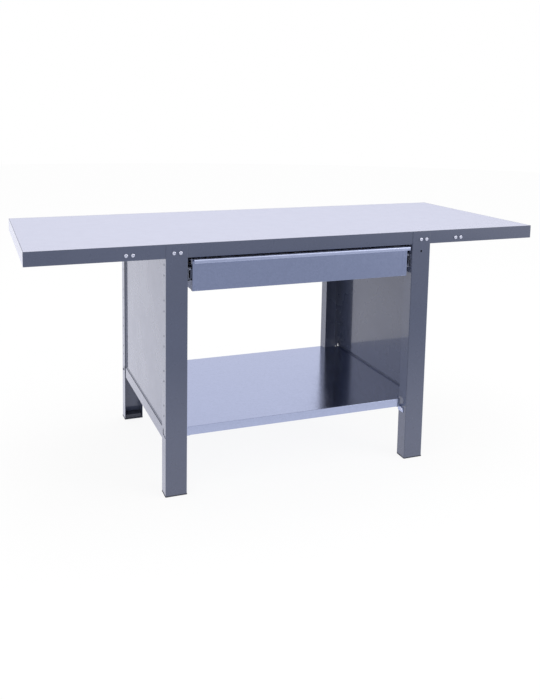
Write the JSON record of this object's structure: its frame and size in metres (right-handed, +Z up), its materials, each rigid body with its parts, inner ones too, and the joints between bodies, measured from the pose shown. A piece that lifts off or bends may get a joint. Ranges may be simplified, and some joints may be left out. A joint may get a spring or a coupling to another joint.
{
  "type": "workbench",
  "caption": "Steel workbench with a framed worktop on two side frames, a drawer on telescopic slides under it and a lower shelf between the side panels.",
  "frame": {"origin": "on the floor, midway between the ends and between the frontmost and rearmost points", "axes": "+Z up, +X along the bench to the right as seen from the front, and the drawer opens along -Y"},
  "size_m": [1.9, 0.7234, 0.865],
  "materials": {
    "paint": "semi-gloss grey",
    "laminate": "satin light grey",
    "chipboard": "raw pressed board",
    "galvanised": "galvanised",
    "aluminium": "anodised",
    "zinc": "bright zinc plate",
    "black_plastic": "moulded"
  },
  "bodies": {
    "frame": {"front_beam": "paint", "front_left_foot": "black_plastic", "front_left_leg": "paint", "front_left_leg_bolt_a": "zinc", "front_left_leg_bolt_b": "zinc", "front_left_overhang_bolt_a": "zinc", "front_left_overhang_bolt_b": "zinc", "front_left_shelf_bolt": "zinc", "front_left_shelf_bracket": "galvanised", "front_right_foot": "black_plastic", "front_right_leg": "paint", "front_right_leg_bolt_a": "zinc", "front_right_leg_bolt_b": "zinc", "front_right_overhang_bolt_a": "zinc", "front_right_overhang_bolt_b": "zinc", "front_right_shelf_bolt": "zinc", "front_right_shelf_bracket": "galvanised", "left_end_beam": "paint", "left_inner_cross_member": "paint", "left_outer_cross_member": "paint", "left_side_panel": "paint", "left_side_rail": "paint", "left_slide_outer": "galvanised", "rear_beam": "paint", "rear_left_foot": "black_plastic", "rear_left_leg": "paint", "rear_left_leg_bolt_a": "zinc", "rear_left_leg_bolt_b": "zinc", "rear_left_overhang_bolt_a": "zinc", "rear_left_overhang_bolt_b": "zinc", "rear_left_shelf_bolt": "zinc", "rear_left_shelf_bracket": "galvanised", "rear_right_foot": "black_plastic", "rear_right_leg": "paint", "rear_right_leg_bolt_a": "zinc", "rear_right_leg_bolt_b": "zinc", "rear_right_overhang_bolt_a": "zinc", "rear_right_overhang_bolt_b": "zinc", "rear_right_shelf_bolt": "zinc", "rear_right_shelf_bracket": "galvanised", "right_end_beam": "paint", "right_inner_cross_member": "paint", "right_outer_cross_member": "paint", "right_side_panel": "paint", "right_side_rail": "paint", "right_slide_outer": "galvanised", "shelf": "galvanised", "worktop_board": "chipboard", "worktop_surface": "laminate"},
    "drawer": {"drawer_front": "galvanised", "drawer_body": "galvanised", "drawer_handle": "aluminium", "left_slide_inner": "galvanised", "right_slide_inner": "galvanised"},
    "left_middle_slide": {"left_slide_middle": "galvanised"},
    "right_middle_slide": {"right_slide_middle": "galvanised"},
    "left_outer_cage": {"left_outer_ball_cage": "zinc"},
    "right_outer_cage": {"right_outer_ball_cage": "zinc"},
    "left_inner_cage": {"left_inner_ball_cage": "zinc"},
    "right_inner_cage": {"right_inner_ball_cage": "zinc"}
  },
  "joints": [
    {"name": "drawer_slide", "type": "slide", "parent": "frame", "child": "drawer", "axis": [0, -1, 0], "range_m": [0, 0.55]},
    {"name": "left_middle_slide_travel", "type": "slide", "parent": "frame", "child": "left_middle_slide", "axis": [0, -1, 0], "range_m": [0, 0.275]},
    {"name": "left_outer_cage_travel", "type": "slide", "parent": "frame", "child": "left_outer_cage", "axis": [0, -1, 0], "range_m": [0, 0.1375]},
    {"name": "left_inner_cage_travel", "type": "slide", "parent": "frame", "child": "left_inner_cage", "axis": [0, -1, 0], "range_m": [0, 0.4125]},
    {"name": "right_middle_slide_travel", "type": "slide", "parent": "frame", "child": "right_middle_slide", "axis": [0, -1, 0], "range_m": [0, 0.275]},
    {"name": "right_outer_cage_travel", "type": "slide", "parent": "frame", "child": "right_outer_cage", "axis": [0, -1, 0], "range_m": [0, 0.1375]},
    {"name": "right_inner_cage_travel", "type": "slide", "parent": "frame", "child": "right_inner_cage", "axis": [0, -1, 0], "range_m": [0, 0.4125]}
  ],
  "couplings": [
    {"joint": "left_middle_slide_travel", "follows": "drawer_slide", "ratio": 0.5},
    {"joint": "left_outer_cage_travel", "follows": "drawer_slide", "ratio": 0.25},
    {"joint": "left_inner_cage_travel", "follows": "drawer_slide", "ratio": 0.75},
    {"joint": "right_middle_slide_travel", "follows": "drawer_slide", "ratio": 0.5},
    {"joint": "right_outer_cage_travel", "follows": "drawer_slide", "ratio": 0.25},
    {"joint": "right_inner_cage_travel", "follows": "drawer_slide", "ratio": 0.75}
  ]
}
